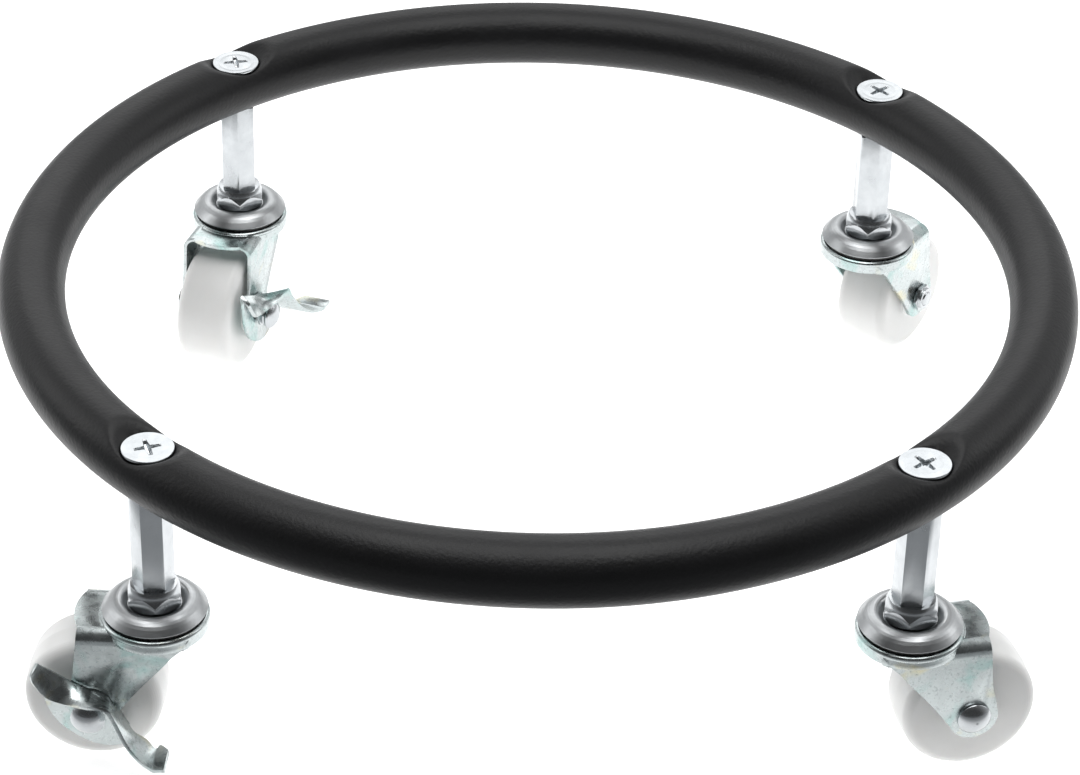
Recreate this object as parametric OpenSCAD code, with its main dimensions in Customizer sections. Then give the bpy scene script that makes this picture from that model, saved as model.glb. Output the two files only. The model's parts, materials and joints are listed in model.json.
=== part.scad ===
// Drum dolly: a tube ring on four swivel casters, the two on the left with a side brake.
// Millimetres, +Z up, origin on the floor under the centre of the ring.

/* [Ring] */
// Outside diameter of the ring
ring_od = 400; // [360:1:480]
// Diameter of the tube
tube_d = 25; // [22:0.5:30]
// Wall of the tube
tube_wall = 1.5; // [1:0.1:2]
// Bearing of the front left caster, anticlockwise from +X, in degrees
front_left_at = 225.5; // [215:0.5:235]
// Bearing of the front right caster
front_right_at = 315.5; // [305:0.5:325]
// Bearing of the rear left caster
rear_left_at = 131.5; // [125:0.5:145]
// Bearing of the rear right caster
rear_right_at = 44; // [35:0.5:55]
// Width of the spot flat pressed under each station
flat_w = 16.6; // [16:0.1:18]
// Diameter of the flared mouth of each screw's dimple, at the crown of the tube
mouth_d = 30; // [26:0.5:32]

/* [Screw and coupling nut] */
// Thread diameter
thread_d = 8; // [6:0.5:8]
// Diameter of the countersunk head
head_d = 18.5; // [16:0.5:20]
// Depth of the countersunk cone
head_h = 5; // [4:0.5:6]
// Straight rim at the top of the head
head_rim = 0.8; // [0.5:0.1:1.2]
// Length of the screw with its head
screw_len = 30; // [25:1:32]
// Across flats of the coupling nut
nut_af = 13; // [12:0.5:14]
// Length of the coupling nut
nut_len = 37.8; // [34:0.1:44]

/* [Stem and swivel] */
// Across flats of the stem's hex collar
collar_af = 18.4; // [17:0.2:19]
// Height of the hex collar
collar_h = 8.4; // [7:0.2:10]
// Length of thread that enters the nut
stud_len = 16; // [10:1:18]
// Height of the neck between collar and cap
neck_h = 0.6; // [0.5:0.1:2]
// Diameter of the kingpin
kingpin_d = 10; // [8:0.5:10.5]
// Outside diameter of the swivel cap
cap_d = 37.4; // [36:0.2:40]
// Height of the cap from rim to crown
cap_h = 4.6; // [4:0.2:5.4]
// Diameter of the cap's sunk middle
cap_well_d = 21.6; // [21:0.2:22.4]
// Depth of the cap's sunk middle
cap_well_h = 2.4; // [2:0.1:2.8]
// Gap between cap rim and race bead
race_gap = 1.5; // [1.2:0.1:2]
// Diameter of the swivel balls
ball_d = 6.3; // [5.5:0.1:6.4]
// Number of swivel balls
ball_count = 12; // [8:1:12]

/* [Fork] */
// Thickness of the fork's sheet
sheet = 1.5; // [1.2:0.1:1.8]
// Distance between the legs
fork_gap = 26.6; // [24:0.2:28]
// Trail, from kingpin to axle
trail = 21.8; // [18:0.2:24]
// Outside diameter of the race bead
bead_d = 38.8; // [37:0.2:40]
// Height of the race bead over the fork's top plate
bead_h = 0.9; // [0.6:0.1:1.2]
// Drop of the round skirt from the fork's top plate, under the bead
skirt_h = 2.8; // [2.4:0.1:3.2]
// Height of the fork's top plate over the wheel
plate_over_wheel = 7.3; // [6.6:0.1:8.6]
// Outside radius of the bend from the top plate into each leg
bend_r = 5; // [3:0.2:5.6]
// Reach of the top plate behind the kingpin
plate_reach = 28.4; // [27.6:0.2:30]
// Reach of the top plate's back corners
plate_corner = 26.2; // [24:0.2:26.8]

/* [Wheel and axle] */
// Diameter of the wheel
wheel_d = 50; // [42:0.5:50.6]
// Width of the tread
wheel_w = 23; // [18:0.5:24]
// Radius of the tread's corners
wheel_corner = 4; // [2:0.5:5]
// Rise of the tread's crown
wheel_crown = 0.4; // [0.2:0.1:0.8]
// Diameter of the wheel's hub
hub_d = 18; // [15:0.5:22]
// Diameter of the axle bolt
axle_d = 6; // [5:0.5:7]
// Wall of the sleeve that the wheel turns on
sleeve_wall = 1.4; // [1:0.1:2]
// Diameter of the bolt's domed head
dome_d = 12.4; // [11:0.2:13]
// Height of the domed head
dome_h = 4; // [3:0.2:5]
// Straight rim under the dome
dome_rim = 1; // [0.6:0.1:1.4]
// Thread that shows past the axle nut
bolt_tail = 0.5; // [0.5:0.5:2]
// Across flats of the axle nut
axle_nut_af = 10; // [9:0.5:11]
// Thickness of the axle nut
axle_nut_h = 3.2; // [2.6:0.2:6]

/* [Brake] */
// Thickness of the lever's sheet
lever_t = 1.4; // [1.2:0.1:1.6]
// Width of the hood over the bolt head
hood_w = 11; // [9:0.5:12]
// How far the toe flares outward
toe_flare = 9.5; // [6:0.5:11]
// Thickness of the pair of spring washers between lever and bolt head
washer_t = 4; // [2:0.2:4.6]
// Tip of the rear left lever towards its locked side, in degrees
rear_lever_tip = 2; // [0:1:15]

/* [Rest position] */
// Heading of each wheel, from kingpin to axle, anticlockwise from +X, in degrees
front_left_heading = 177; // [0:1:360]
// Heading of the front right wheel
front_right_heading = 13.5; // [0:0.5:360]
// Heading of the rear left wheel
rear_left_heading = 253.5; // [0:0.5:360]
// Heading of the rear right wheel
rear_right_heading = 55; // [0:1:360]

/* [Clearances] */
// Play of a thread or pin in its own hole, on the radius
pin_play = 0.06; // [0.04:0.01:0.08]
// Gap between neighbours that move past each other
gap = 0.3; // [0.2:0.05:0.4]
// Gap between pieces that rest together without touching
seat_gap = 0.1; // [0.05:0.05:0.15]

/* [Hidden] */
$fn = 96;
eps = 0.01;
ring_r = (ring_od - tube_d) / 2;
thread_r = thread_d / 2;
kingpin_r = kingpin_d / 2;

// Heights, from the floor up
axle_z = wheel_d / 2;
plate_z = wheel_d + plate_over_wheel;
skirt_z = plate_z - skirt_h;
bead_z = plate_z + bead_h;
cap_rim_z = bead_z + race_gap;
cap_top_z = cap_rim_z + cap_h;
cap_floor_z = cap_top_z - cap_well_h;
collar_z = cap_floor_z + neck_h;
nut_z = collar_z + collar_h;
flat_depth = tube_d / 2 - sqrt(pow(tube_d / 2, 2) - pow(nut_af / 2 + seat_gap, 2));
tube_z = nut_z + nut_len + tube_d / 2 - flat_depth;
head_top_z = tube_z + sqrt(pow(tube_d / 2, 2) - pow(head_d / 2, 2));
crown_over_head = tube_z + tube_d / 2 - head_top_z;

// Swivel bearing, from the cap down
ball_row_r = cap_d / 4 + cap_well_d / 8 + 1.5;
ball_top_z = cap_top_z - sheet - seat_gap;
groove_z = ball_top_z - ball_d - gap;
land_z = groove_z + 0.4;
thrust_t = 1.3;
thrust_d = 18;
rivet_d = 16;
rivet_h = 2;
thrust_z = groove_z - sheet - gap - thrust_t;
seal_outer_r = cap_d / 2 - 0.9;
seal_inner_r = ball_row_r + ball_d / 2 + gap;

// Fork and axle, from the wheel's middle plane out
fork_r = fork_gap / 2;
leg_face = fork_r + sheet;
leg_end_r = 9;
bolt_chamfer = 0.6;
sleeve_r = axle_d / 2 + pin_play + sleeve_wall;
lever_face = leg_face + gap;
washer_face = lever_face + lever_t + gap;
brake_head_face = washer_face + washer_t;

// Brake lever, measured from the axle: x runs back, z up, and y out from the lever's own face.
// The sheet lies between an inner edge, which follows the fold and the inside of the toe, and an outer lip.
pedal_root = [17.4, 17.4];
fold_end = [-10.4, -0.6];
crease_share = 0.98;
plate_low = [pedal_root, [16.8, 11], [15.7, 2.6], [11.2, -6.4], [2, -13.4], [-6, -15.4], [-12, -13.4],
             [-13.6, -6]];
fold = [[18.2, 0, 19], [15.8, 0, 17.4], [12.4, 0, 15.4], [8.6, 0, 13], [4.4, 0, 10.2], [-0.2, 0, 7.8],
        [-5.2, 0, 4.2], [fold_end.x, 0, fold_end.y]];
toe_inner = [[-15, toe_flare * 0.36, -6.4], [-20, toe_flare * 0.45, -9.2], [-24, toe_flare * 0.84, -10.4],
             [-25.6, toe_flare * 0.6, -10.3], [-29, toe_flare, -9.2]];
lip = [[19.6, hood_w * 0.36, 16.8], [19.2, hood_w * 0.42, 13.6], [14.8, hood_w * 0.44, 7.8],
       [9.4, hood_w * 0.5, 6], [4.8, hood_w * 0.66, 6.4], [-1, hood_w * 0.86, 7.7], [-7.2, hood_w, 8.6],
       [-10.6, hood_w + 0.3, 2.6]];
toe_outer = [[-14.6, hood_w + toe_flare * 0.25, -5], [-19.4, hood_w + toe_flare * 0.55, -9.2],
             [-24, hood_w + toe_flare * 0.84, -10.6], [-25.8, hood_w + toe_flare * 0.9, -10.5],
             [-29, hood_w + toe_flare, -9.4]];

// Names and headings of the four stations
FL = 0;
FR = 1;
RL = 2;
RR = 3;
station_at = [front_left_at, front_right_at, rear_left_at, rear_right_at];
heading = [front_left_heading, front_right_heading, rear_left_heading, rear_right_heading];
// Turn of each coupling nut and of each stem about its own axis, in degrees
nut_turn = [7.5, -8, 35.5, -22];
stem_turn = [37.5, 22.5, 35.5, 24];
// Side of the fork that the bolt head is on: +1 is left of the heading, -1 is right
head_side = [1, -1, 1, 1];
braked = [true, false, true, false];
lever_tip = [0, 0, rear_lever_tip, 0];

// A point at t between b and c, on the smooth curve through a, b, c and d
function between(a, b, c, d, t) =
  0.5 * (2 * b + (c - a) * t + (2 * a - 5 * b + 4 * c - d) * t * t + (3 * b - a - 3 * c + d) * t * t * t);

// The smooth curve through a list of points, with steps pieces between neighbours
function smooth(p, steps = 3) =
  let(last = len(p) - 1)
  concat([for (i = [0:last - 1], k = [0:steps - 1])
            between(p[max(i - 1, 0)], p[i], p[i + 1], p[min(i + 2, last)], k / steps)],
         [p[last]]);

// Points of a circular arc
function arc(centre, r, from, to, steps = 8) =
  [for (k = [0:steps])
     let(turn = from + (to - from) * k / steps)
     centre + r * [cos(turn), sin(turn)]];

// A sheet, t thick, that spans two edge curves with the same number of points
module spanning_sheet(inner, outer, t) {
  last = len(inner) - 1;
  function half_wall(i) =
    let(next = min(i + 1, last),
        before = max(i - 1, 0),
        along = inner[next] + outer[next] - inner[before] - outer[before],
        normal = cross(along, outer[i] - inner[i]))
    normal / norm(normal) * t / 2;
  points = [for (i = [0:last])
              let(wall = half_wall(i))
              each [inner[i] + wall, outer[i] + wall, outer[i] - wall, inner[i] - wall]];
  sides = [for (i = [0:last - 1], k = [0:3])
             let(a = 4 * i + k, b = 4 * i + (k + 1) % 4)
             each [[a, b, b + 4], [a, b + 4, a + 4]]];
  end = 4 * last;
  polyhedron(points, concat(sides, [[0, 2, 1], [0, 3, 2], [end, end + 1, end + 2], [end, end + 2, end + 3]]));
}

// Turns a shape drawn in x and z, extruded along y from y0 to y1
module across(y0, y1) {
  translate([0, y1, 0])
    rotate([90, 0, 0])
      linear_extrude(y1 - y0) children();
}

// A round bar along y
module bar_y(r, y0, y1) {
  translate([0, y0, 0])
    rotate([-90, 0, 0])
      cylinder(r = r, h = y1 - y0);
}

// Places a piece at a station, standing over its kingpin
module at_station(s) {
  rotate(station_at[s])
    translate([ring_r, 0, 0])
      rotate(-station_at[s]) children();
}

// Places a piece in a station's fork: x trails, y crosses the wheel
module in_fork(s) {
  at_station(s)
    rotate(heading[s]) children();
}

// Places a piece on a station's axle, with y pointing to the bolt head
module on_axle(s) {
  in_fork(s)
    translate([trail, 0, axle_z])
      mirror([0, head_side[s] < 0 ? 1 : 0, 0]) children();
}

// A hexagonal bar, sized across its flats
module hex(af, h) {
  cylinder(d = af / cos(30), h = h, $fn = 6);
}

// A hexagonal bar with both ends chamfered
module chamfered_hex(af, h, chamfer) {
  corner_r = af / cos(30) / 2;
  intersection() {
    hex(af, h);
    rotate_extrude()
      polygon([[0, 0], [af / 2, 0], [corner_r + eps, chamfer], [corner_r + eps, h - chamfer],
               [af / 2, h], [0, h]]);
  }
}

// The cup pressed into the tube for a screw head: a cone, a short wall and a flared mouth.
// Its zero is the top of the head, and it is swollen by grow.
module dimple(grow) {
  floor_z = -head_rim - head_h - grow;
  seat_r = head_d / 2 + gap + grow;
  flare = mouth_d / 2 + grow - seat_r;
  rotate_extrude()
    polygon([[0, floor_z], [thread_r + gap + grow, floor_z], [seat_r, -head_rim], [seat_r, 0],
             [seat_r + 2 * flare, 2 * crown_over_head], [0, 2 * crown_over_head]]);
}

module torus(r) {
  rotate_extrude($fn = 144)
    translate([ring_r, 0])
      circle(r = r);
}

module ring_tube() {
  tube_r = tube_d / 2;
  color("#17181a")
    difference() {
      union() {
        translate([0, 0, tube_z])
          difference() {
            torus(tube_r);
            torus(tube_r - tube_wall);
          }
        intersection() {
          translate([0, 0, tube_z])
            torus(tube_r - tube_wall / 2);
          for (s = [FL:RR])
            at_station(s)
              translate([0, 0, head_top_z])
                dimple(tube_wall);
        }
        for (s = [FL:RR])
          at_station(s)
            translate([0, 0, tube_z - tube_r + flat_depth])
              cylinder(d = flat_w, h = tube_wall);
      }
      for (s = [FL:RR])
        at_station(s) {
          translate([0, 0, head_top_z])
            dimple(0);
          translate([0, 0, tube_z - tube_d])
            cylinder(d = flat_w, h = tube_d - tube_r + flat_depth);
          translate([0, 0, tube_z - tube_d])
            cylinder(r = thread_r + gap, h = tube_d + head_top_z - head_rim - tube_z);
        }
    }
}

module screw(s) {
  recess_d = head_d * 0.5;
  recess_w = 1.8;
  recess_h = 2.6;
  color("#c9ccd0")
    at_station(s)
      difference() {
        union() {
          translate([0, 0, head_top_z - head_rim])
            cylinder(d = head_d, h = head_rim);
          translate([0, 0, head_top_z - head_rim - head_h])
            cylinder(r1 = thread_r, r2 = head_d / 2, h = head_h);
          translate([0, 0, head_top_z - screw_len])
            cylinder(r = thread_r, h = screw_len - head_rim - head_h);
        }
        for (turn = [0, 90])
          translate([0, 0, head_top_z - recess_h / 2 + eps])
            rotate(turn + 20)
              cube([recess_d, recess_w, recess_h], center = true);
      }
}

module coupling_nut(s) {
  color("#bfc3c7")
    at_station(s)
      translate([0, 0, nut_z])
        rotate(nut_turn[s])
          difference() {
            chamfered_hex(nut_af, nut_len, 0.5);
            translate([0, 0, -eps])
              cylinder(r = thread_r + pin_play, h = nut_len + 2 * eps);
          }
}

module stem(s) {
  neck_r = kingpin_r + 1.2;
  flat_r = collar_af / 2;
  corner_r = flat_r / cos(30) + eps;
  color("#b8bcc0")
    at_station(s) {
      translate([0, 0, collar_z])
        intersection() {
          rotate(stem_turn[s])
            hex(collar_af, collar_h);
          // A short chamfer below and a tall round shoulder above leave each flat an oval
          rotate_extrude()
            polygon([[0, 0], [flat_r - 0.4, 0], [corner_r, 1.8], [corner_r, collar_h - 4.6],
                     [flat_r + 0.6, collar_h - 3.6], [flat_r, collar_h - 2.4], [flat_r - 0.4, collar_h - 1],
                     [flat_r - 0.9, collar_h], [0, collar_h]]);
        }
      translate([0, 0, nut_z - eps])
        cylinder(r = thread_r, h = stud_len);
      translate([0, 0, cap_floor_z])
        cylinder(r = neck_r, h = neck_h + eps);
      translate([0, 0, thrust_z])
        cylinder(r = kingpin_r, h = cap_floor_z - thrust_z + eps);
      translate([0, 0, thrust_z - rivet_h])
        cylinder(d1 = rivet_d - 2 * rivet_h, d2 = rivet_d, h = rivet_h);
    }
}

module swivel_cap(s) {
  hole_r = kingpin_r + pin_play;
  well_r = cap_well_d / 2;
  crown_r = ball_row_r;
  rim_r = cap_d / 2;
  top = smooth([[well_r - 1.2, cap_floor_z], [well_r - 0.3, cap_floor_z + 0.9],
                [well_r + 0.9, cap_top_z - 0.3], [crown_r, cap_top_z], [crown_r + 2.6, cap_top_z - 1.3],
                [rim_r, cap_rim_z + 0.5]]);
  under = smooth([[rim_r - 0.2, cap_rim_z], [rim_r - 1.1, cap_rim_z + 0.1],
                  [crown_r + 2.2, cap_top_z - 0.7 - sheet], [crown_r, cap_top_z - sheet],
                  [well_r + 0.4, cap_top_z - 0.4 - sheet], [well_r - 1.3, cap_floor_z - sheet]]);
  color("#aeb3b8")
    at_station(s)
      rotate_extrude()
        polygon(concat([[hole_r, cap_floor_z - sheet], [hole_r, cap_floor_z]], top, under));
}

module dust_ring(s) {
  color("#141414")
    at_station(s)
      translate([0, 0, bead_z + gap])
        difference() {
          cylinder(r = seal_outer_r, h = race_gap - gap - seat_gap);
          translate([0, 0, -eps])
            cylinder(r = seal_inner_r, h = race_gap);
        }
}

module swivel_balls(s) {
  color("#9a9ea2")
    at_station(s)
      for (i = [0:ball_count - 1])
        rotate(360 * i / ball_count)
          translate([ball_row_r, 0, ball_top_z - ball_d / 2])
            sphere(d = ball_d, $fn = 32);
}

module thrust_washer(s) {
  color("#a9adb1")
    at_station(s)
      translate([0, 0, thrust_z + eps])
        difference() {
          cylinder(d = thrust_d, h = thrust_t - eps);
          translate([0, 0, -eps])
            cylinder(r = kingpin_r + pin_play, h = thrust_t + 2 * eps);
        }
}

// The raised race of the fork: bead, ball groove and land, without the centre hole
module race() {
  bead_r = (bead_h + skirt_h) * 0.37;
  crest_r = bead_d / 2 - bead_r;
  hole_r = kingpin_r + pin_play;
  top = concat([[hole_r, land_z]],
               smooth([[ball_row_r - 3.2, land_z], [ball_row_r, groove_z], [ball_row_r + 2.3, land_z + 0.5]]),
               arc([crest_r, bead_z - bead_r], bead_r, 160, -50, 10),
               [[bead_d / 2 - 0.3, skirt_z]]);
  rotate_extrude()
    polygon(concat(top, [[bead_d / 2 - 0.3, skirt_z - sheet], [ball_row_r + 3, skirt_z - sheet],
                         [ball_row_r + 2, groove_z - sheet], [hole_r, groove_z - sheet]]));
}

// The soft foot of the bead where it meets the top plate
module race_foot() {
  foot_r = bead_h * 0.8;
  rotate_extrude()
    polygon(concat([[ball_row_r + 4.4, plate_z - sheet], [ball_row_r + 4.4, plate_z + bead_h / 3]],
                   arc([bead_d / 2 + foot_r * 0.8, plate_z + foot_r], foot_r, 200, 270, 5),
                   [[bead_d / 2 + foot_r * 0.8, plate_z - sheet]]));
}

// The sheet seen from behind: a top plate with a rounded bend into each leg
module bent_sheet() {
  module outline(half, top, r) {
    union() {
      translate([-half, -axle_z])
        square([2 * half, top + axle_z - r]);
      translate([-half + r, top - r - eps])
        square([2 * (half - r), r + eps]);
      for (side = [-1, 1])
        translate([side * (half - r), top - r])
          circle(r = r);
    }
  }
  difference() {
    outline(leg_face, plate_z, bend_r);
    translate([0, -eps])
      outline(fork_r, plate_z - sheet, bend_r - sheet);
  }
}

// A leg seen from the side: its slanting front, round end at the axle and nearly upright back
module leg_outline() {
  front = smooth([[-11.4, skirt_z - 2.2], [-7.6, skirt_z - 5.8], [-3.2, skirt_z - 11.4],
                  [trail - 16.6, axle_z + 8], [trail - leg_end_r + 0.7, axle_z - 3.4]]);
  back = smooth([[trail + leg_end_r, axle_z], [trail + leg_end_r - 1, axle_z + 5.4],
                 [plate_corner + 1.7, axle_z + 13], [plate_corner + 0.9, skirt_z - 10],
                 [plate_corner, plate_z - bend_r], [plate_corner - 0.4, plate_z + 1]]);
  polygon(concat([[-bead_d / 2, plate_z + 1], [-bead_d / 2, skirt_z - sheet]], front,
                 [[trail, axle_z - leg_end_r / 2]], back));
  translate([trail, axle_z])
    circle(r = leg_end_r);
}

// The top plate seen from above: round under the race, with a bowed back edge
module plate_outline() {
  flat_half = leg_face - bend_r;
  bow_r = (pow(flat_half, 2) + pow(plate_reach - plate_corner, 2)) / (2 * (plate_reach - plate_corner));
  intersection() {
    translate([-bead_d / 2, -flat_half])
      square([bead_d / 2 + plate_reach, 2 * flat_half]);
    union() {
      circle(d = bead_d - 0.6);
      intersection() {
        translate([0, -flat_half])
          square([plate_reach, 2 * flat_half]);
        translate([plate_reach - bow_r, 0])
          circle(r = bow_r);
      }
    }
  }
}

// Limit of the legs seen from above: they stay under the race in front
module leg_plan() {
  circle(d = bead_d - 0.6);
  translate([0, -leg_face - 1])
    square([2 * trail, 2 * leg_face + 2]);
}

// The bent sheet trimmed to its outlines
module trimmed_sheet() {
  flat_half = leg_face - bend_r;
  intersection() {
    rotate([90, 0, 90])
      translate([0, 0, -bead_d])
        linear_extrude(bead_d * 2)
          bent_sheet();
    union() {
      intersection() {
        union() {
          across(-leg_face - 1, -flat_half)
            leg_outline();
          across(flat_half, leg_face + 1)
            leg_outline();
        }
        linear_extrude(plate_z + 1)
          leg_plan();
      }
      linear_extrude(plate_z + 1)
        plate_outline();
    }
  }
}

module fork(s) {
  color("#b4babd")
    difference() {
      in_fork(s) {
        difference() {
          union() {
            trimmed_sheet();
            intersection() {
              race_foot();
              linear_extrude(plate_z + bead_h)
                plate_outline();
            }
          }
          translate([0, 0, groove_z - sheet / 2])
            cylinder(d = bead_d - 4, h = ball_d);
        }
        race();
      }
      on_axle(s)
        bar_y(axle_d / 2 + pin_play, -leg_face - 1, leg_face + 1);
    }
}

module axle_bolt(s) {
  shank_r = axle_d / 2;
  head_r = dome_d / 2;
  face = braked[s] ? brake_head_face : leg_face;
  tail = leg_face + axle_nut_h + bolt_tail;
  rise = dome_h - dome_rim;
  dome_r = (pow(head_r, 2) + pow(rise, 2)) / (2 * rise);
  spread = asin(head_r / dome_r);
  color("#c4c8cb")
    on_axle(s)
      rotate([-90, 0, 0])
        rotate_extrude()
          polygon(concat([[0, -tail], [shank_r - bolt_chamfer, -tail], [shank_r, bolt_chamfer - tail],
                          [shank_r, face], [head_r, face]],
                         arc([0, face + dome_h - dome_r], dome_r, 90 - spread, 90, 9)));
}

module axle_sleeve(s) {
  color("#9da2a6")
    on_axle(s)
      difference() {
        bar_y(sleeve_r, -fork_r + seat_gap, fork_r - seat_gap);
        bar_y(axle_d / 2 + pin_play, -fork_r, fork_r);
      }
}

module axle_nut(s) {
  round_h = axle_nut_h * 0.4;
  color("#b9bdc1")
    on_axle(s)
      difference() {
        translate([0, -leg_face - seat_gap, 0])
          rotate([90, 0, 0]) {
            chamfered_hex(axle_nut_af, axle_nut_h - round_h, 0.6);
            cylinder(r1 = axle_nut_af / 2 - 0.3, r2 = axle_nut_af / 2 - 0.5, h = axle_nut_h - seat_gap);
          }
        bar_y(axle_d / 2 + pin_play, -leg_face - axle_nut_h - 1, -leg_face + 1);
      }
}

module wheel(s) {
  half = wheel_w / 2;
  r = wheel_d / 2;
  edge_r = r - wheel_crown;
  hub_half = fork_r - gap;
  bore_r = sleeve_r + pin_play;
  tread = concat(arc([edge_r - wheel_corner, half - wheel_corner], wheel_corner, 90, 8, 7),
                 [[r, 0]],
                 arc([edge_r - wheel_corner, wheel_corner - half], wheel_corner, -8, -90, 7));
  color("#eceded")
    on_axle(s)
      rotate([90, 0, 0])
        rotate_extrude($fn = 120)
          polygon(concat([[bore_r, -hub_half], [bore_r, hub_half], [hub_d / 2 - 0.6, hub_half],
                          [hub_d / 2, hub_half - 0.6], [hub_d / 2, half]],
                         tread,
                         [[hub_d / 2, -half], [hub_d / 2, 0.6 - hub_half], [hub_d / 2 - 0.6, -hub_half]]));
}

module brake_lever(s) {
  crease = smooth([for (p = fold) [p.x, p.z] * crease_share]);
  color("#b7c1c1")
    on_axle(s)
      rotate([0, lever_tip[s], 0])
        difference() {
          union() {
            across(lever_face, lever_face + lever_t) {
              polygon(concat(smooth(plate_low), [for (i = [len(crease) - 1:-1:2]) crease[i]]));
              circle(r = dome_d / 2 + 2);
            }
            translate([0, lever_face + lever_t / 2, 0])
              spanning_sheet(smooth(concat(fold, toe_inner)), smooth(concat(lip, toe_outer)), lever_t);
          }
          bar_y(axle_d / 2 + pin_play, lever_face - 1, lever_face + lever_t + 1);
        }
}

// Two dished spring washers set rim to rim
module brake_washer(s) {
  washer_r = dome_d / 2 - 0.8;
  hole_r = axle_d / 2 + pin_play;
  dish = washer_t * 0.15;
  top = washer_face + washer_t - eps;
  middle = washer_face + washer_t / 2;
  color("#c7cbce")
    on_axle(s)
      rotate([-90, 0, 0])
        rotate_extrude()
          polygon([[hole_r, washer_face], [washer_r - 1.6, washer_face], [washer_r, washer_face + dish],
                   [washer_r, middle - dish], [washer_r - 1, middle], [washer_r, middle + dish],
                   [washer_r, top - dish], [washer_r - 1.6, top], [hole_r, top]]);
}

ring_tube();
screw(FL);  // front_left_screw
screw(FR);  // front_right_screw
screw(RL);  // rear_left_screw
screw(RR);  // rear_right_screw
coupling_nut(FL);  // front_left_coupling_nut
coupling_nut(FR);  // front_right_coupling_nut
coupling_nut(RL);  // rear_left_coupling_nut
coupling_nut(RR);  // rear_right_coupling_nut
stem(FL);  // front_left_stem
stem(FR);  // front_right_stem
stem(RL);  // rear_left_stem
stem(RR);  // rear_right_stem
swivel_cap(FL);  // front_left_swivel_cap
swivel_cap(FR);  // front_right_swivel_cap
swivel_cap(RL);  // rear_left_swivel_cap
swivel_cap(RR);  // rear_right_swivel_cap
dust_ring(FL);  // front_left_dust_ring
dust_ring(FR);  // front_right_dust_ring
dust_ring(RL);  // rear_left_dust_ring
dust_ring(RR);  // rear_right_dust_ring
swivel_balls(FL);  // front_left_swivel_balls
swivel_balls(FR);  // front_right_swivel_balls
swivel_balls(RL);  // rear_left_swivel_balls
swivel_balls(RR);  // rear_right_swivel_balls
thrust_washer(FL);  // front_left_thrust_washer
thrust_washer(FR);  // front_right_thrust_washer
thrust_washer(RL);  // rear_left_thrust_washer
thrust_washer(RR);  // rear_right_thrust_washer
fork(FL);  // front_left_fork
fork(FR);  // front_right_fork
fork(RL);  // rear_left_fork
fork(RR);  // rear_right_fork
axle_bolt(FL);  // front_left_axle_bolt
axle_bolt(FR);  // front_right_axle_bolt
axle_bolt(RL);  // rear_left_axle_bolt
axle_bolt(RR);  // rear_right_axle_bolt
axle_sleeve(FL);  // front_left_axle_sleeve
axle_sleeve(FR);  // front_right_axle_sleeve
axle_sleeve(RL);  // rear_left_axle_sleeve
axle_sleeve(RR);  // rear_right_axle_sleeve
axle_nut(FL);  // front_left_axle_nut
axle_nut(FR);  // front_right_axle_nut
axle_nut(RL);  // rear_left_axle_nut
axle_nut(RR);  // rear_right_axle_nut
wheel(FL);  // front_left_wheel
wheel(FR);  // front_right_wheel
wheel(RL);  // rear_left_wheel
wheel(RR);  // rear_right_wheel
brake_lever(FL);  // front_left_brake_lever
brake_lever(RL);  // rear_left_brake_lever
brake_washer(FL);  // front_left_brake_washer
brake_washer(RL);  // rear_left_brake_washer
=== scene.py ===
import json
import math

import bmesh
import bpy
from mathutils import Matrix, Vector

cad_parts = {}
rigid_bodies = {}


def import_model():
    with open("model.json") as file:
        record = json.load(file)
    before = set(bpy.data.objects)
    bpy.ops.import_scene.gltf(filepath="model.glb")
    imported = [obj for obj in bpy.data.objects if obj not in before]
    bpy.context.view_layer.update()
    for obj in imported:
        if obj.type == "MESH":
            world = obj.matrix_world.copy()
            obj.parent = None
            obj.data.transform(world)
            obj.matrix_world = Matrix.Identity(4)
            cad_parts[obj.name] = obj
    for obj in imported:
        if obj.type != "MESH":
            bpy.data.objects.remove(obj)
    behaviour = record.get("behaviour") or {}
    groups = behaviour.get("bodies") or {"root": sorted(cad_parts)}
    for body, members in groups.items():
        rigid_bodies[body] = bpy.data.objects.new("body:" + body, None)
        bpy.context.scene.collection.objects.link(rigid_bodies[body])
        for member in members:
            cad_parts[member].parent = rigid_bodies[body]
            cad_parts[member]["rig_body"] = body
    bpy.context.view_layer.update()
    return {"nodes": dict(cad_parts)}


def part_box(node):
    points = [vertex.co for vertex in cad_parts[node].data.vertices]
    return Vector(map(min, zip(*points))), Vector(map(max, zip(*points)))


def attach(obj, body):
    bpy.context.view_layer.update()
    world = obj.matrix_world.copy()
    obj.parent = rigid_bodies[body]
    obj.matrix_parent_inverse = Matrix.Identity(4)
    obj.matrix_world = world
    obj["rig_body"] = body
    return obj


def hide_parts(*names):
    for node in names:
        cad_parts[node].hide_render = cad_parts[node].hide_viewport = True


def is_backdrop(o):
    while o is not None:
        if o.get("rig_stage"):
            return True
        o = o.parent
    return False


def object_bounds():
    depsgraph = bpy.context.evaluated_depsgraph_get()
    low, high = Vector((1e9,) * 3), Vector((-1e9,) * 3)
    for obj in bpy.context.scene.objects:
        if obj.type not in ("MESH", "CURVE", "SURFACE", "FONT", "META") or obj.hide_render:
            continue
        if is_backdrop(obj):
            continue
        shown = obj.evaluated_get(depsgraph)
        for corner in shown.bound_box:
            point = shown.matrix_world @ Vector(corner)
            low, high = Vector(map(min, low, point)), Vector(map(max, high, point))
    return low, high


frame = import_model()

bl_info = {
    "name": "Drum Dolly",
    "version": (1, 0, 0),
    "blender": (4, 5, 0),
    "location": "3D View > Sidebar > Dolly",
    "description": "Builds the finish and the fine shapes of a drum dolly around its packed frame",
    "category": "Object",
}

MM = 0.001
STATIONS = ("front_left", "front_right", "rear_left", "rear_right")
BRAKED = ("front_left", "rear_left")

# How far each screw was turned when it was driven home, in degrees
SCREW_TURNS = {"front_left": 20, "front_right": 38, "rear_left": 12, "rear_right": 42}

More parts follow.
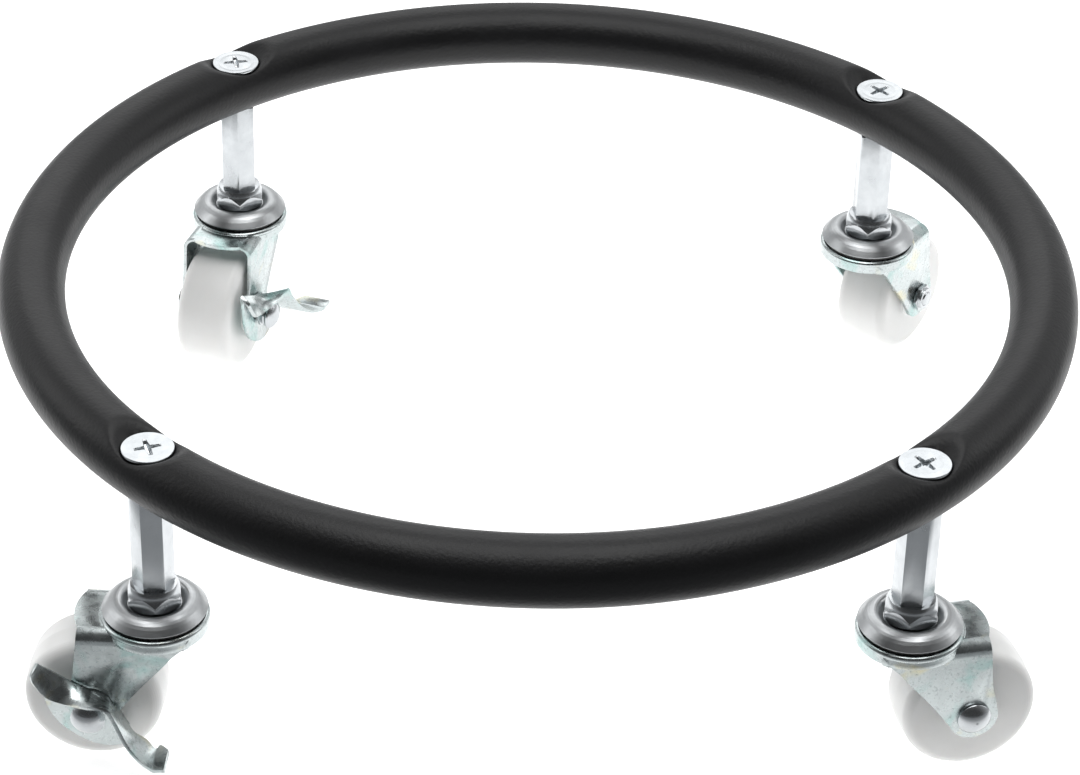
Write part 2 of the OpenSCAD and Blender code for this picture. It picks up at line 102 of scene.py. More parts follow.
# The camera looks down by its tilt, leans by its roll, and stands at its place
CAMERA_TILT = math.radians(33.63)
CAMERA_ROLL = math.radians(1.433)
CAMERA_LENS = 121.4
CAMERA_SENSOR = 36
CAMERA_PLACE = (1.7 * MM, -1153.3 * MM, 834.3 * MM)

# Each softbox: its name, place and size in metres, and its power in watts
SOFTBOXES = (
    ("back_softbox", (-0.2, 1.5, 1.3), (1.8, 1.0), 6),
    ("overhead_softbox", (0, -0.15, 1.9), (1.7, 1.5), 24),
    ("left_softbox", (-1.5, 0.2, 0.8), (0.7, 1.0), 3),
    ("right_softbox", (1.5, 0.3, 0.9), (0.7, 1.0), 3),
)
SOFTBOX_AIM = (0, 0, 0.05)

# The lit patch of the floor: its centre, and the distances where it starts and ends fading; the painted
# shade on the floor around it fades in over the same span
PATCH_CENTRE = (0, 0.40, 0)
PATCH_FADE = {"From Min": 0.56, "From Max": 0.66}
PATCH_GLOW = 0.62


# Sizes and colours


class DollyColours(bpy.types.PropertyGroup):
    """Colours of the finishes, as sRGB hex values"""

    coat: bpy.props.StringProperty(
        name="Powder coat", description="Satin black powder coat on the ring", default="#121212"
    )
    chip: bpy.props.StringProperty(
        name="Chips", description="Primer and dust in the small chips of the coat", default="#3a3a3c"
    )
    zinc: bpy.props.StringProperty(
        name="Zinc plate", description="Bright zinc plate on the turned and headed pieces", default="#cdd0d2"
    )
    sheet: bpy.props.StringProperty(
        name="Zinc sheet", description="Zinc plate on the pressed sheet pieces", default="#c2c9c9"
    )
    sheet_blue: bpy.props.StringProperty(
        name="Passivation, blue", description="Blue-green tint of the passivated zinc", default="#a3bfbc"
    )
    sheet_straw: bpy.props.StringProperty(
        name="Passivation, straw", description="Straw tint of the passivated zinc", default="#cfccb4"
    )
    steel: bpy.props.StringProperty(
        name="Bearing steel", description="Oiled steel of the balls and sleeves", default="#a7aaad"
    )
    wheel: bpy.props.StringProperty(
        name="Wheel", description="White polypropylene of the wheels", default="#f6f6f5"
    )
    seal: bpy.props.StringProperty(
        name="Dust ring", description="Black plastic of the dust rings", default="#0c0c0c"
    )
    floor: bpy.props.StringProperty(
        name="Floor", description="Pale floor under the dolly", default="#fbfbfb"
    )


class DollySizes(bpy.types.PropertyGroup):
    """Sizes of the fine shapes"""

    mouth: bpy.props.FloatProperty(
        name="Dimple mouth",
        description="Width of the soft mouth of each screw's dimple, at the crown of the tube",
        default=30 * MM,
        unit="LENGTH",
    )
    soften: bpy.props.FloatProperty(
        name="Dimple softness",
        description="Radius over which the coat and the pressed tube round off the dimple's edge",
        default=3.0 * MM,
        unit="LENGTH",
    )
    edge: bpy.props.FloatProperty(
        name="Edge round",
        description="Round on the edges of plated pieces",
        default=0.22 * MM,
        unit="LENGTH",
    )
    recess: bpy.props.FloatProperty(
        name="Recess span",
        description="Span of the cross recess in each screw",
        default=9.4 * MM,
        unit="LENGTH",
    )


def linear(hex_colour):
    """sRGB hex to a linear colour with alpha."""
    value = hex_colour.lstrip("#")
    parts = [int(value[i : i + 2], 16) / 255 for i in (0, 2, 4)]
    return tuple(p / 12.92 if p <= 0.04045 else ((p + 0.055) / 1.055) ** 2.4 for p in parts) + (1.0,)


# Materials


def add(tree, kind, settings=None, inputs=None, links=None):
    """Adds a node with its settings and input values, and links its inputs from (node, output) pairs."""
    node = tree.nodes.new(kind)
    for name, value in (settings or {}).items():
        setattr(node, name, value)
    for name, value in (inputs or {}).items():
        node.inputs[name].default_value = value
    for name, (source, output) in (links or {}).items():
        tree.links.new(source.outputs[output], node.inputs[name])
    return node


def set_ramp(node, stops):
    """Gives a colour ramp its (place, colour) stops."""
    elements = node.color_ramp.elements
    while len(elements) > 1:
        elements.remove(elements[-1])
    elements[0].position, elements[0].color = stops[0]
    for place, colour in stops[1:]:
        elements.new(place).color = colour


def new_material(name, values):
    """An empty node material: its tree, its Principled shader with these values, and a node that gives
    its object coordinates."""
    material = bpy.data.materials.new(name)
    material.use_nodes = True
    tree = material.node_tree
    tree.nodes.clear()
    shader = add(tree, "ShaderNodeBsdfPrincipled", inputs=values)
    add(tree, "ShaderNodeOutputMaterial", links={"Surface": (shader, "BSDF")})
    return material, tree, shader, add(tree, "ShaderNodeTexCoord")


def powder_coat():
    """Satin black polyester powder coat, sprayed and baked: a soft broad sheen over a fine orange peel
    about 1.4 mm across, dust specks, and a few small chips from handling."""
    colours = bpy.context.scene.dolly_colours
    material, tree, shader, place = new_material(
        "satin_black_powder_coat", {"Metallic": 0.0, "IOR": 1.5, "Specular IOR Level": 0.3}
    )
    peel = add(tree, "ShaderNodeTexNoise", inputs={"Scale": 700.0, "Detail": 2.0, "Roughness": 0.5},
               links={"Vector": (place, "Object")})
    grit = add(tree, "ShaderNodeTexNoise", inputs={"Scale": 2600.0, "Detail": 3.0, "Roughness": 0.65},
               links={"Vector": (place, "Object")})
    # Handling marks about 30 mm across, with smaller breaks, where the sheen is a little duller
    rub = add(tree, "ShaderNodeTexNoise", inputs={"Scale": 34.0, "Detail": 5.0, "Roughness": 0.62},
              links={"Vector": (place, "Object")})
    # Chips: about one cell in thirty holds one, and a cell is about 16 mm across
    cell = add(tree, "ShaderNodeTexVoronoi", inputs={"Scale": 62.0, "Randomness": 1.0},
               links={"Vector": (place, "Object")})
    pick = add(tree, "ShaderNodeSeparateColor", links={"Color": (cell, "Color")})
    rare = add(tree, "ShaderNodeMapRange",
               inputs={"From Min": 0.965, "From Max": 0.972, "To Min": 0.0, "To Max": 1.0},
               links={"Value": (pick, "Red")})
    core = add(tree, "ShaderNodeMapRange",
               inputs={"From Min": 0.10, "From Max": 0.05, "To Min": 0.0, "To Max": 1.0},
               links={"Value": (cell, "Distance")})
    chip = add(tree, "ShaderNodeMath", {"operation": "MULTIPLY"},
               links={0: (rare, "Result"), 1: (core, "Result")})
    tone = add(tree, "ShaderNodeMix", {"data_type": "RGBA"},
               inputs={"A": linear(colours.coat), "B": linear("#18181a")},
               links={"Factor": (rub, "Fac")})
    paint = add(tree, "ShaderNodeMix", {"data_type": "RGBA"}, inputs={"B": linear(colours.chip)},
                links={"Factor": (chip, 0), "A": (tone, "Result")})
    sheen = add(tree, "ShaderNodeMapRange",
                inputs={"From Min": 0.3, "From Max": 0.7, "To Min": 0.36, "To Max": 0.46},
                links={"Value": (rub, "Fac")})
    tree.links.new(paint.outputs["Result"], shader.inputs["Base Color"])
    tree.links.new(sheen.outputs["Result"], shader.inputs["Roughness"])
    fine = add(tree, "ShaderNodeBump", inputs={"Strength": 0.12, "Distance": 0.05 * MM},
               links={"Height": (grit, "Fac")})
    bump = add(tree, "ShaderNodeBump", inputs={"Strength": 0.8, "Distance": 0.16 * MM},
               links={"Height": (peel, "Fac"), "Normal": (fine, "Normal")})
    dent = add(tree, "ShaderNodeBump", {"invert": True}, inputs={"Strength": 0.8, "Distance": 0.1 * MM},
               links={"Height": (chip, 0), "Normal": (bump, "Normal")})
    tree.links.new(dent.outputs["Normal"], shader.inputs["Normal"])
    return material


def zinc_plate():
    """Bright zinc plate over turned and headed steel: a soft mirror with clouded patches 6 mm across,
    fine pits and barrel scratches."""
    colours = bpy.context.scene.dolly_colours
    material, tree, shader, place = new_material("bright_zinc_plate", {"Metallic": 1.0})
    cloud = add(tree, "ShaderNodeTexNoise", inputs={"Scale": 160.0, "Detail": 4.0, "Roughness": 0.6},
                links={"Vector": (place, "Object")})
    pits = add(tree, "ShaderNodeTexNoise", inputs={"Scale": 1500.0, "Detail": 2.0, "Roughness": 0.6},
               links={"Vector": (place, "Object")})
    tint = add(tree, "ShaderNodeMix", {"data_type": "RGBA"},
               inputs={"A": linear(colours.zinc), "B": linear("#b3b7ba")}, links={"Factor": (cloud, "Fac")})
    gloss = add(tree, "ShaderNodeMapRange",
                inputs={"From Min": 0.3, "From Max": 0.7, "To Min": 0.18, "To Max": 0.28},
                links={"Value": (cloud, "Fac")})
    bump = add(tree, "ShaderNodeBump", inputs={"Strength": 0.25, "Distance": 0.03 * MM},
               links={"Height": (pits, "Fac")})
    wave = add(tree, "ShaderNodeBump", inputs={"Strength": 0.12, "Distance": 0.1 * MM},
               links={"Height": (cloud, "Fac"), "Normal": (bump, "Normal")})
    tree.links.new(tint.outputs["Result"], shader.inputs["Base Color"])
    tree.links.new(gloss.outputs["Result"], shader.inputs["Roughness"])
    tree.links.new(wave.outputs["Normal"], shader.inputs["Normal"])
    return material


def zinc_sheet():
    """Zinc-plated pressed steel sheet with a clear blue passivation: a wavy, softer mirror than the turned
    pieces, with blue-green and straw patches 18 mm across and dull specks of about 1 mm."""
    colours = bpy.context.scene.dolly_colours
    material, tree, shader, place = new_material("passivated_zinc_sheet", {"Metallic": 1.0})
    drift = add(tree, "ShaderNodeTexNoise",
                inputs={"Scale": 55.0, "Detail": 3.0, "Roughness": 0.55, "Distortion": 0.6},
                links={"Vector": (place, "Object")})
    hue = add(tree, "ShaderNodeValToRGB", links={"Fac": (drift, "Fac")})
    set_ramp(hue, [(0.30, linear(colours.sheet_blue)), (0.47, linear(colours.sheet)),
                   (0.60, linear(colours.sheet)), (0.72, linear(colours.sheet_straw))])
    speck = add(tree, "ShaderNodeTexNoise", inputs={"Scale": 850.0, "Detail": 2.0, "Roughness": 0.7},
                links={"Vector": (place, "Object")})
    dull = add(tree, "ShaderNodeMapRange",
               inputs={"From Min": 0.56, "From Max": 0.70, "To Min": 0.0, "To Max": 0.55},
               links={"Value": (speck, "Fac")})
    skin = add(tree, "ShaderNodeMix", {"data_type": "RGBA"}, inputs={"B": linear("#8a9494")},
               links={"Factor": (dull, "Result"), "A": (hue, "Color")})
    ripple = add(tree, "ShaderNodeTexNoise", inputs={"Scale": 210.0, "Detail": 2.0, "Roughness": 0.5},
                 links={"Vector": (place, "Object")})
    gloss = add(tree, "ShaderNodeMapRange",
                inputs={"From Min": 0.25, "From Max": 0.75, "To Min": 0.17, "To Max": 0.36},
                links={"Value": (ripple, "Fac")})
    fine = add(tree, "ShaderNodeBump", inputs={"Strength": 0.25, "Distance": 0.03 * MM},
               links={"Height": (speck, "Fac")})
    wave = add(tree, "ShaderNodeBump", inputs={"Strength": 0.35, "Distance": 0.12 * MM},
               links={"Height": (ripple, "Fac"), "Normal": (fine, "Normal")})
    tree.links.new(skin.outputs["Result"], shader.inputs["Base Color"])
    tree.links.new(gloss.outputs["Result"], shader.inputs["Roughness"])
    tree.links.new(wave.outputs["Normal"], shader.inputs["Normal"])
    return material


def bearing_steel():
    """Hardened steel, ground and oiled: a darker, close mirror with an oil film that clouds it."""
    colours = bpy.context.scene.dolly_colours
    material, tree, shader, place = new_material(
        "oiled_bearing_steel", {"Metallic": 1.0, "Base Color": linear(colours.steel)}
    )
    film = add(tree, "ShaderNodeTexNoise", inputs={"Scale": 320.0, "Detail": 3.0},
               links={"Vector": (place, "Object")})
    gloss = add(tree, "ShaderNodeMapRange",
                inputs={"From Min": 0.3, "From Max": 0.7, "To Min": 0.10, "To Max": 0.26},
                links={"Value": (film, "Fac")})
    tree.links.new(gloss.outputs["Result"], shader.inputs["Roughness"])
    return material


def white_polypropylene():
    """Injection-moulded white polypropylene: satin, slightly milky in depth, with flow marks about 9 mm
    apart, a fine mould texture and a little grey dust from the floor."""
    colours = bpy.context.scene.dolly_colours
    material, tree, shader, place = new_material(
        "moulded_white_polypropylene",
        {
            "Metallic": 0.0,
            "IOR": 1.49,
            "Subsurface Weight": 0.25,
            "Subsurface Radius": (1.0, 0.95, 0.9),
            "Subsurface Scale": 3 * MM,
        },
    )
    flow = add(tree, "ShaderNodeTexNoise", inputs={"Scale": 110.0, "Detail": 3.0, "Roughness": 0.55},
               links={"Vector": (place, "Object")})
    dust = add(tree, "ShaderNodeTexNoise", inputs={"Scale": 900.0, "Detail": 3.0, "Roughness": 0.7},
               links={"Vector": (place, "Object")})
    spots = add(tree, "ShaderNodeMapRange",
                inputs={"From Min": 0.66, "From Max": 0.76, "To Min": 0.0, "To Max": 0.25},
                links={"Value": (dust, "Fac")})
    body = add(tree, "ShaderNodeMix", {"data_type": "RGBA"},
               inputs={"A": linear(colours.wheel), "B": linear("#efefed")}, links={"Factor": (flow, "Fac")})
    skin = add(tree, "ShaderNodeMix", {"data_type": "RGBA"}, inputs={"B": linear("#c9c9c5")},
               links={"Factor": (spots, "Result"), "A": (body, "Result")})
    gloss = add(tree, "ShaderNodeMapRange",
                inputs={"From Min": 0.3, "From Max": 0.7, "To Min": 0.28, "To Max": 0.42},
                links={"Value": (flow, "Fac")})
    bump = add(tree, "ShaderNodeBump", inputs={"Strength": 0.15, "Distance": 0.04 * MM},
               links={"Height": (dust, "Fac")})
    tree.links.new(skin.outputs["Result"], shader.inputs["Base Color"])
    tree.links.new(gloss.outputs["Result"], shader.inputs["Roughness"])
    tree.links.new(bump.outputs["Normal"], shader.inputs["Normal"])
    return material


def black_seal():
    """Moulded black plastic seal, smeared with grease: dark with a soft uneven sheen."""
    colours = bpy.context.scene.dolly_colours
    material, tree, shader, place = new_material("greased_black_seal", {"Metallic": 0.0, "IOR": 1.49})
    smear = add(tree, "ShaderNodeTexNoise", inputs={"Scale": 260.0, "Detail": 3.0},
                links={"Vector": (place, "Object")})
    tone = add(tree, "ShaderNodeMix", {"data_type": "RGBA"},
               inputs={"A": linear(colours.seal), "B": linear("#1a1916")}, links={"Factor": (smear, "Fac")})
    gloss = add(tree, "ShaderNodeMapRange",
                inputs={"From Min": 0.3, "From Max": 0.7, "To Min": 0.3, "To Max": 0.6},
                links={"Value": (smear, "Fac")})
    tree.links.new(tone.outputs["Result"], shader.inputs["Base Color"])
    tree.links.new(gloss.outputs["Result"], shader.inputs["Roughness"])
    return material


def satin_zinc():
    """Bright zinc plate over a cap drawn on a press: the same plate as the turned pieces, blurred by the
    fine draw marks that run round it."""
    colours = bpy.context.scene.dolly_colours
    material, tree, shader, place = new_material("satin_zinc_on_drawn_cap", {"Metallic": 1.0})
    haze = add(tree, "ShaderNodeTexNoise", inputs={"Scale": 240.0, "Detail": 5.0, "Roughness": 0.65},
               links={"Vector": (place, "Object")})
    grain = add(tree, "ShaderNodeTexNoise", inputs={"Scale": 1900.0, "Detail": 2.0, "Roughness": 0.6},
                links={"Vector": (place, "Object")})
    tint = add(tree, "ShaderNodeMix", {"data_type": "RGBA"},
               inputs={"A": linear("#c6c8c9"), "B": linear("#a9acae")}, links={"Factor": (haze, "Fac")})
    gloss = add(tree, "ShaderNodeMapRange",
                inputs={"From Min": 0.3, "From Max": 0.7, "To Min": 0.30, "To Max": 0.42},
                links={"Value": (haze, "Fac")})
    bump = add(tree, "ShaderNodeBump", inputs={"Strength": 0.4, "Distance": 0.04 * MM},
               links={"Height": (grain, "Fac")})
    tree.links.new(tint.outputs["Result"], shader.inputs["Base Color"])
    tree.links.new(gloss.outputs["Result"], shader.inputs["Roughness"])
    tree.links.new(bump.outputs["Normal"], shader.inputs["Normal"])
    return material


def pale_floor():
    """Opal acrylic light table: white and softly lit from below in a round patch under the dolly, and around
    it a pale grey painted in as painted shade where the patch's light falls off, with a faint tooth."""
    colours = bpy.context.scene.dolly_colours
    material, tree, shader, place = new_material(
        "opal_light_table", {"Roughness": 0.9, "Specular IOR Level": 0.1, "Emission Color": (1, 1, 1, 1)}
    )
    spread = add(tree, "ShaderNodeVectorMath", {"operation": "DISTANCE"}, inputs={1: PATCH_CENTRE},
                 links={0: (place, "Object")})
    glow = add(tree, "ShaderNodeMapRange", {"interpolation_type": "SMOOTHSTEP"},
               inputs={**PATCH_FADE, "To Min": PATCH_GLOW, "To Max": 0.0},
               links={"Value": (spread, "Value")})
    tree.links.new(glow.outputs["Result"], shader.inputs["Emission Strength"])
    # Painted shade: the base colour darkens to grey over the same span where the patch's glow fades out
    painted_falloff_shade = add(tree, "ShaderNodeMapRange", {"interpolation_type": "SMOOTHSTEP"},
                 inputs={**PATCH_FADE, "To Min": 0.0, "To Max": 1.0},
                 links={"Value": (spread, "Value")})
    tooth = add(tree, "ShaderNodeTexNoise", inputs={"Scale": 500.0, "Detail": 2.0},
                links={"Vector": (place, "Object")})
    tone = add(tree, "ShaderNodeMix", {"data_type": "RGBA"},
               inputs={"A": linear(colours.floor), "B": linear("#f6f6f6")}, links={"Factor": (tooth, "Fac")})
    # The floor colour: the faint tooth, and the painted shade where the lit patch falls off
    tooth_and_painted_shade = add(tree, "ShaderNodeMix", {"data_type": "RGBA"}, inputs={"B": linear("#9fa1a3")},
                links={"Factor": (painted_falloff_shade, "Result"), "A": (tone, "Result")})
    tree.links.new(tooth_and_painted_shade.outputs["Result"], shader.inputs["Base Color"])
    return material


SLOT_FINISH = {
    "powder_coat": powder_coat,
    "zinc_plate": zinc_plate,
    "zinc_sheet": zinc_sheet,
    "bearing_steel": bearing_steel,
    "white_plastic": white_polypropylene,
    "black_seal": black_seal,
}
FINISHES = {}


def finish_of(slot):
    """The finish of a material slot, made once."""
    if slot not in FINISHES:
        FINISHES[slot] = SLOT_FINISH[slot]()
    return FINISHES[slot]


def slot_of(node):
    """The material slot that a frame node was packed with."""
    return frame["nodes"][node].data.materials[0].name.split(".")[0]


# Shapes


def new_piece(name, shape, slot, body, *nodes):
    """Turns a bmesh into a piece that rides on a body, stands for nodes and takes a slot's finish."""
    mesh = bpy.data.meshes.new(name)
    shape.to_mesh(mesh)
    shape.free()
    mesh.materials.append(finish_of(slot))
    piece = bpy.data.objects.new(name, mesh)
    bpy.context.scene.collection.objects.link(piece)
    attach(piece, body)
    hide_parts(*nodes)
    return piece


def shade(shape, sharpest):
    """Smooth shading, with a hard line where two faces meet at more than the sharpest angle."""
    for face in shape.faces:
        face.smooth = True
    for edge in shape.edges:
        edge.smooth = edge.is_manifold and edge.calc_face_angle(0) < math.radians(sharpest)


def body_with(node):
    """The body that a frame node rides on."""
    return frame["nodes"][node]["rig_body"]


def rounded_copy(node, edge_round, crease=26, sharpest=40):
    """A copy of a frame node with its flat faces joined up and its hard edges rounded."""
    shape = bmesh.new()
    shape.from_mesh(frame["nodes"][node].data)
    bmesh.ops.remove_doubles(shape, verts=shape.verts, dist=0.002 * MM)
    bmesh.ops.dissolve_limit(shape, angle_limit=math.radians(0.5), verts=shape.verts, edges=shape.edges)
    hard = [e for e in shape.edges
            if e.is_manifold and e.calc_face_angle(0) > math.radians(crease)]
    bmesh.ops.bevel(shape, geom=hard, offset=edge_round, offset_type="OFFSET", affect="EDGES", segments=2,
                    profile=0.5, material=-1, clamp_overlap=True)
    shade(shape, sharpest)
    return new_piece(node + "_rounded", shape, slot_of(node), body_with(node), node)


def station_centre(name):
    """Where a station's screw stands, and the height of its head."""
    low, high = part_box(name + "_screw")
    return Vector(((low.x + high.x) / 2, (low.y + high.y) / 2, high.z)), (high.x - low.x) / 2


def soft_floor(a, b, k):
    """The lower of two heights, with a rounded change between them."""
    h = max(k - abs(a - b), 0) / k
    return min(a, b) - h * h * k / 4


# Operators


class DOLLY_OT_stage(bpy.types.Operator):
    """Builds the floor, the lights and the camera"""

    bl_idname = "dolly.stage"
    bl_label = "Stage"

    def execute(self, context):
        scene = context.scene
        shape = bmesh.new()
        bmesh.ops.create_grid(shape, x_segments=1, y_segments=1, size=6.0)
        mesh = bpy.data.meshes.new("floor")
        shape.to_mesh(mesh)
        shape.free()
        mesh.transform(Matrix.Translation((0, 0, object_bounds()[0].z)))
        mesh.materials.append(pale_floor())
        floor = bpy.data.objects.new("floor", mesh)
        scene.collection.objects.link(floor)
        floor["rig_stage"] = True

        world = bpy.data.worlds.new("studio")
        world.use_nodes = True
        tree = world.node_tree
        back = next(n for n in tree.nodes if n.type == "BACKGROUND")
        # A white backdrop behind, and a dimmer room in front and overhead
        room_front, room_back, room_top = 0.06, 0.82, 0.6
        way = add(tree, "ShaderNodeTexCoord")
        axes = add(tree, "ShaderNodeSeparateXYZ", links={"Vector": (way, "Generated")})
        depth = add(tree, "ShaderNodeMapRange", {"interpolation_type": "SMOOTHSTEP"},
                    inputs={"From Min": -0.75, "From Max": 0.75, "To Min": room_front, "To Max": room_back},
                    links={"Value": (axes, "Y")})
        ceiling = add(tree, "ShaderNodeMapRange", {"interpolation_type": "SMOOTHSTEP"},
                      inputs={"From Min": 0.62, "From Max": 0.95, "To Min": 1.0, "To Max": room_top},
                      links={"Value": (axes, "Z")})
        room = add(tree, "ShaderNodeMath", {"operation": "MULTIPLY"},
                   links={0: (depth, "Result"), 1: (ceiling, "Result")})
        back.inputs["Color"].default_value = linear("#fafbfc")
        tree.links.new(room.outputs[0], back.inputs["Strength"])
        scene.world = world
        scene.view_settings.view_transform = "Standard"

        for name, at, size, power in SOFTBOXES:
            light = bpy.data.lights.new(name, "AREA")
            light.shape = "RECTANGLE"
            light.size, light.size_y = size
            light.energy = power
            holder = bpy.data.objects.new(name, light)
            holder.location = at
            toward = Vector(SOFTBOX_AIM) - Vector(at)
            holder.rotation_euler = toward.to_track_quat("-Z", "Y").to_euler()
            scene.collection.objects.link(holder)

        back_axis = Vector((0, -math.cos(CAMERA_TILT), math.sin(CAMERA_TILT)))
        up_axis = Vector((0, math.sin(CAMERA_TILT), math.cos(CAMERA_TILT)))
        side_axis = Vector((1, 0, 0))
        right = math.cos(CAMERA_ROLL) * side_axis + math.sin(CAMERA_ROLL) * up_axis
        up = math.cos(CAMERA_ROLL) * up_axis - math.sin(CAMERA_ROLL) * side_axis
        lens = bpy.data.cameras.new("camera")
        lens.lens = CAMERA_LENS
        lens.sensor_width = CAMERA_SENSOR
        camera = bpy.data.objects.new("camera", lens)
        turn = Matrix((right, up, back_axis)).transposed().to_4x4()
        camera.matrix_world = Matrix.Translation(CAMERA_PLACE) @ turn
        scene.collection.objects.link(camera)
        scene.camera = camera
        return {"FINISHED"}


class DOLLY_OT_ring(bpy.types.Operator):
    """Builds the tube ring with its soft pressed dimples and spot flats"""

    bl_idname = "dolly.ring"
    bl_label = "Tube ring"

    def execute(self, context):
        sizes = context.scene.dolly_sizes
        low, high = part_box("ring_tube")
        tube_r = (high.z - low.z) / 2
        # The box's lowest point is the tube's own underside between the spot flats
        ring_r = (high.x - low.x) / 2 - tube_r
        tube_z = (high.z + low.z) / 2
        centres = [station_centre(s) for s in STATIONS]
        bearings = sorted(math.atan2(c.y, c.x) % math.tau for c, _ in centres)
        near = math.radians(7)
        coarse_step, fine_step = 1.2, 0.24
        # The dimple: how far out it reaches, its play round the head, and its cup below the head's rim
        dimple_reach = 26 * MM
        seat_play, head_rim = 0.3 * MM, 0.8 * MM
        seat_drop, seat_slope, cup_depth = 0.35 * MM, 0.95, 6.3 * MM
        # The spot flat under the tube: its radius, and the band over which it runs out
        spot_r, spot_fade = 8.3 * MM, 1.2 * MM

        shape = bmesh.new()
        profile = bmesh.ops.create_circle(shape, segments=96, radius=tube_r)["verts"]
        start = bearings[0] + near
        turn = Matrix.Rotation(start, 4, "Z") @ Matrix.Translation((ring_r, 0, tube_z))
        turn = turn @ Matrix.Rotation(math.radians(90), 4, "X")
        bmesh.ops.transform(shape, matrix=turn, verts=profile)
        # Between stations the tube is spun in coarse steps, and in fine ones through each dimple
        ends = {"geom_last": profile + list(shape.edges)}
        for this, after in zip(bearings, bearings[1:] + [bearings[0] + math.tau]):
            for sweep, step in ((after - this - 2 * near, coarse_step), (2 * near, fine_step)):
                ends = bmesh.ops.spin(shape, geom=ends["geom_last"], axis=(0, 0, 1), angle=sweep,
                                      steps=max(1, round(math.degrees(sweep) / step)))
        bmesh.ops.remove_doubles(shape, verts=shape.verts, dist=0.01 * MM)

        _, nut_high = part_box("front_left_coupling_nut")
        flat_z = nut_high.z
        mouth_r = sizes.mouth / 2
        for vert in shape.verts:
            for centre, head_r in centres:
                r = math.hypot(vert.co.x - centre.x, vert.co.y - centre.y)
                if r > dimple_reach:
                    continue
                if vert.co.z > tube_z:
                    seat_r = head_r + seat_play
                    rim_z = centre.z - head_rim
                    if r < seat_r:
                        cup = rim_z - seat_drop - (seat_r - r) * seat_slope
                    else:
                        crown = tube_z + tube_r
                        cup = rim_z + (crown - rim_z) * (r - seat_r) / (mouth_r - seat_r)
                    cup = max(cup, centre.z - cup_depth)
                    vert.co.z = soft_floor(vert.co.z, cup, sizes.soften)
                else:
                    press = 1 - min(max((r - spot_r) / spot_fade, 0), 1)
                    if press > 0 and vert.co.z < flat_z:
                        vert.co.z += (flat_z - vert.co.z) * press
        bmesh.ops.recalc_face_normals(shape, faces=shape.faces)
        for face in shape.faces:
            face.smooth = True
        new_piece("ring", shape, "powder_coat", "ring_frame", "ring_tube")
        return {"FINISHED"}


class DOLLY_OT_screws(bpy.types.Operator):
    """Builds the four countersunk screws with their cross recesses"""

    bl_idname = "dolly.screws"
    bl_label = "Screws"

    def execute(self, context):
        sizes = context.scene.dolly_sizes
        for station in STATIONS:
            top, head_r = station_centre(station)
            low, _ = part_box(station + "_screw")
            shank_r = 4 * MM
            rim = 0.8 * MM
            shape = bmesh.new()
            # The face is a fine disc, so that the recess can be pressed into it
            rings = 30
            points = [(head_r * (i / rings) * 0.98, 0.0) for i in range(rings + 1)]
            points += [(head_r - 0.05 * MM, -0.12 * MM), (head_r, -0.3 * MM), (head_r, -rim),
                       (head_r - 0.25 * MM, -rim - 0.2 * MM), (shank_r, -rim - 5 * MM),
                       (shank_r, low.z - top.z + 0.6 * MM), (shank_r - 0.6 * MM, low.z - top.z),
                       (0.0, low.z - top.z)]
            verts = [shape.verts.new((x, 0, z)) for x, z in points]
            edges = [shape.edges.new(pair) for pair in zip(verts, verts[1:])]
            bmesh.ops.spin(shape, geom=verts + edges, axis=(0, 0, 1), angle=math.tau, steps=120,
                           use_merge=True)
            bmesh.ops.remove_doubles(shape, verts=shape.verts, dist=0.005 * MM)
            reach, half = sizes.recess / 2, 0.95 * MM
            for vert in shape.verts:
                if vert.co.z < -0.05 * MM:
                    continue
                r = math.hypot(vert.co.x, vert.co.y)
                depth = 0.0
                for along, aside in ((vert.co.x, vert.co.y), (vert.co.y, vert.co.x)):
                    along, aside = abs(along), abs(aside)
                    wing = half * (1.15 - 0.5 * along / reach)
                    inside = min((wing - aside) / (0.3 * MM), (reach - along) / (0.9 * MM))
                    floor = 3.0 * MM - 2.0 * MM * along / reach
                    depth = max(depth, min(max(inside, 0), 1) * floor)
                # A shallow mark where the press formed the face
                depth += 0.06 * MM * math.exp(-((r - 6.6 * MM) / (0.7 * MM)) ** 2)
                vert.co.z -= depth
            bmesh.ops.recalc_face_normals(shape, faces=shape.faces)
            driven = Matrix.Rotation(math.radians(SCREW_TURNS[station]), 4, "Z")
            turn = Matrix.Translation(top) @ driven
            bmesh.ops.transform(shape, matrix=turn, verts=shape.verts)
            shade(shape, 38)
            new_piece(station + "_cross_screw", shape, "zinc_plate", "ring_frame", station + "_screw")
        return {"FINISHED"}


class DOLLY_OT_posts(bpy.types.Operator):
    """Rounds the edges of the coupling nuts and of the stems with their hex collars"""

    bl_idname = "dolly.posts"
    bl_label = "Nuts and stems"

    def execute(self, context):
        edge = context.scene.dolly_sizes.edge
        forged_edge = edge * 1.3
        for station in STATIONS:
            rounded_copy(station + "_coupling_nut", edge)
            rounded_copy(station + "_stem", forged_edge)
        return {"FINISHED"}


class DOLLY_OT_forks(bpy.types.Operator):
    """Rounds the edges of the pressed forks"""

    bl_idname = "dolly.forks"
    bl_label = "Forks"

    def execute(self, context):
        edge = context.scene.dolly_sizes.edge
        for station in STATIONS:
            rounded_copy(station + "_fork", edge, crease=32)
        return {"FINISHED"}


class DOLLY_OT_axles(bpy.types.Operator):
    """Rounds the edges of the axle bolts and nuts"""

    bl_idname = "dolly.axles"
    bl_label = "Axle bolts and nuts"

    def execute(self, context):
        small_edge = context.scene.dolly_sizes.edge * 0.8
        for station in STATIONS:
            rounded_copy(station + "_axle_bolt", small_edge)
            rounded_copy(station + "_axle_nut", small_edge)
        return {"FINISHED"}


class DOLLY_OT_brakes(bpy.types.Operator):
    """Smooths the stamped brake levers"""

    bl_idname = "dolly.brakes"
    bl_label = "Brake levers"

    def execute(self, context):
        edge = context.scene.dolly_sizes.edge
        for station in BRAKED:
            rounded_copy(station + "_brake_lever", edge, crease=50, sharpest=48)
        return {"FINISHED"}


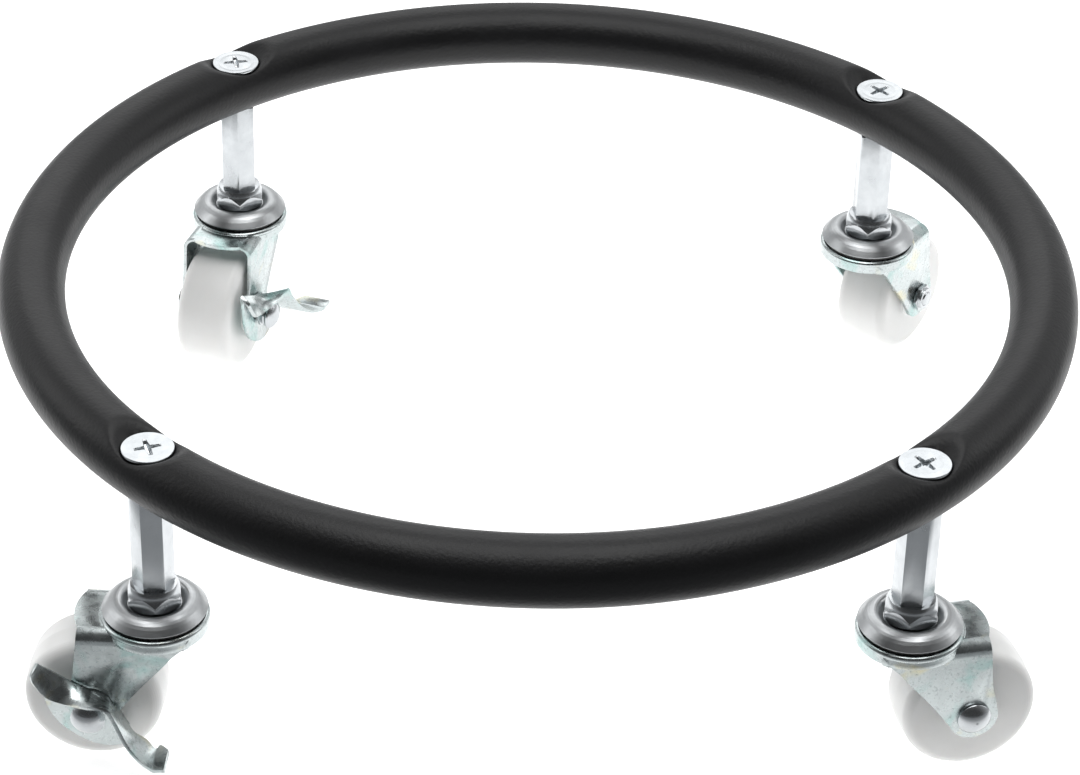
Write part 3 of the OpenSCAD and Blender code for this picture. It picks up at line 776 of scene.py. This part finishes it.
class DOLLY_OT_finishes(bpy.types.Operator):
    """Gives every frame node that shows its finish"""

    bl_idname = "dolly.finishes"
    bl_label = "Finishes"

    def execute(self, context):
        satin_zinc_plate = satin_zinc()
        for name, node in frame["nodes"].items():
            slot = slot_of(name)
            if slot not in SLOT_FINISH:
                raise RuntimeError(f"{name} has no finish for slot {slot}")
            finish = satin_zinc_plate if name.endswith("_swivel_cap") else finish_of(slot)
            for place in node.material_slots:
                place.link = "OBJECT"
                place.material = finish
        return {"FINISHED"}


class DOLLY_PT_panel(bpy.types.Panel):
    """Lists the dolly's steps, sizes and colours"""

    bl_idname = "DOLLY_PT_panel"
    bl_label = "Drum Dolly"
    bl_space_type = "VIEW_3D"
    bl_region_type = "UI"
    bl_category = "Dolly"

    def draw(self, context):
        layout = self.layout
        for kind in OPERATORS:
            layout.operator(kind.bl_idname)
        for group in (context.scene.dolly_sizes, context.scene.dolly_colours):
            for name in type(group).__annotations__:
                layout.prop(group, name)


OPERATORS = (
    DOLLY_OT_stage,
    DOLLY_OT_ring,
    DOLLY_OT_screws,
    DOLLY_OT_posts,
    DOLLY_OT_forks,
    DOLLY_OT_axles,
    DOLLY_OT_brakes,
    DOLLY_OT_finishes,
)
CLASSES = (DollyColours, DollySizes, *OPERATORS, DOLLY_PT_panel)


def register():
    for kind in CLASSES:
        bpy.utils.register_class(kind)
    bpy.types.Scene.dolly_colours = bpy.props.PointerProperty(type=DollyColours)
    bpy.types.Scene.dolly_sizes = bpy.props.PointerProperty(type=DollySizes)


def unregister():
    del bpy.types.Scene.dolly_sizes
    del bpy.types.Scene.dolly_colours
    for kind in reversed(CLASSES):
        bpy.utils.unregister_class(kind)


def main():
    register()
    bpy.ops.dolly.stage()
    bpy.ops.dolly.ring()
    bpy.ops.dolly.screws()
    bpy.ops.dolly.posts()
    bpy.ops.dolly.forks()
    bpy.ops.dolly.axles()
    bpy.ops.dolly.brakes()
    bpy.ops.dolly.finishes()
    bpy.context.view_layer.update()


if __name__ == "__main__":
    main()
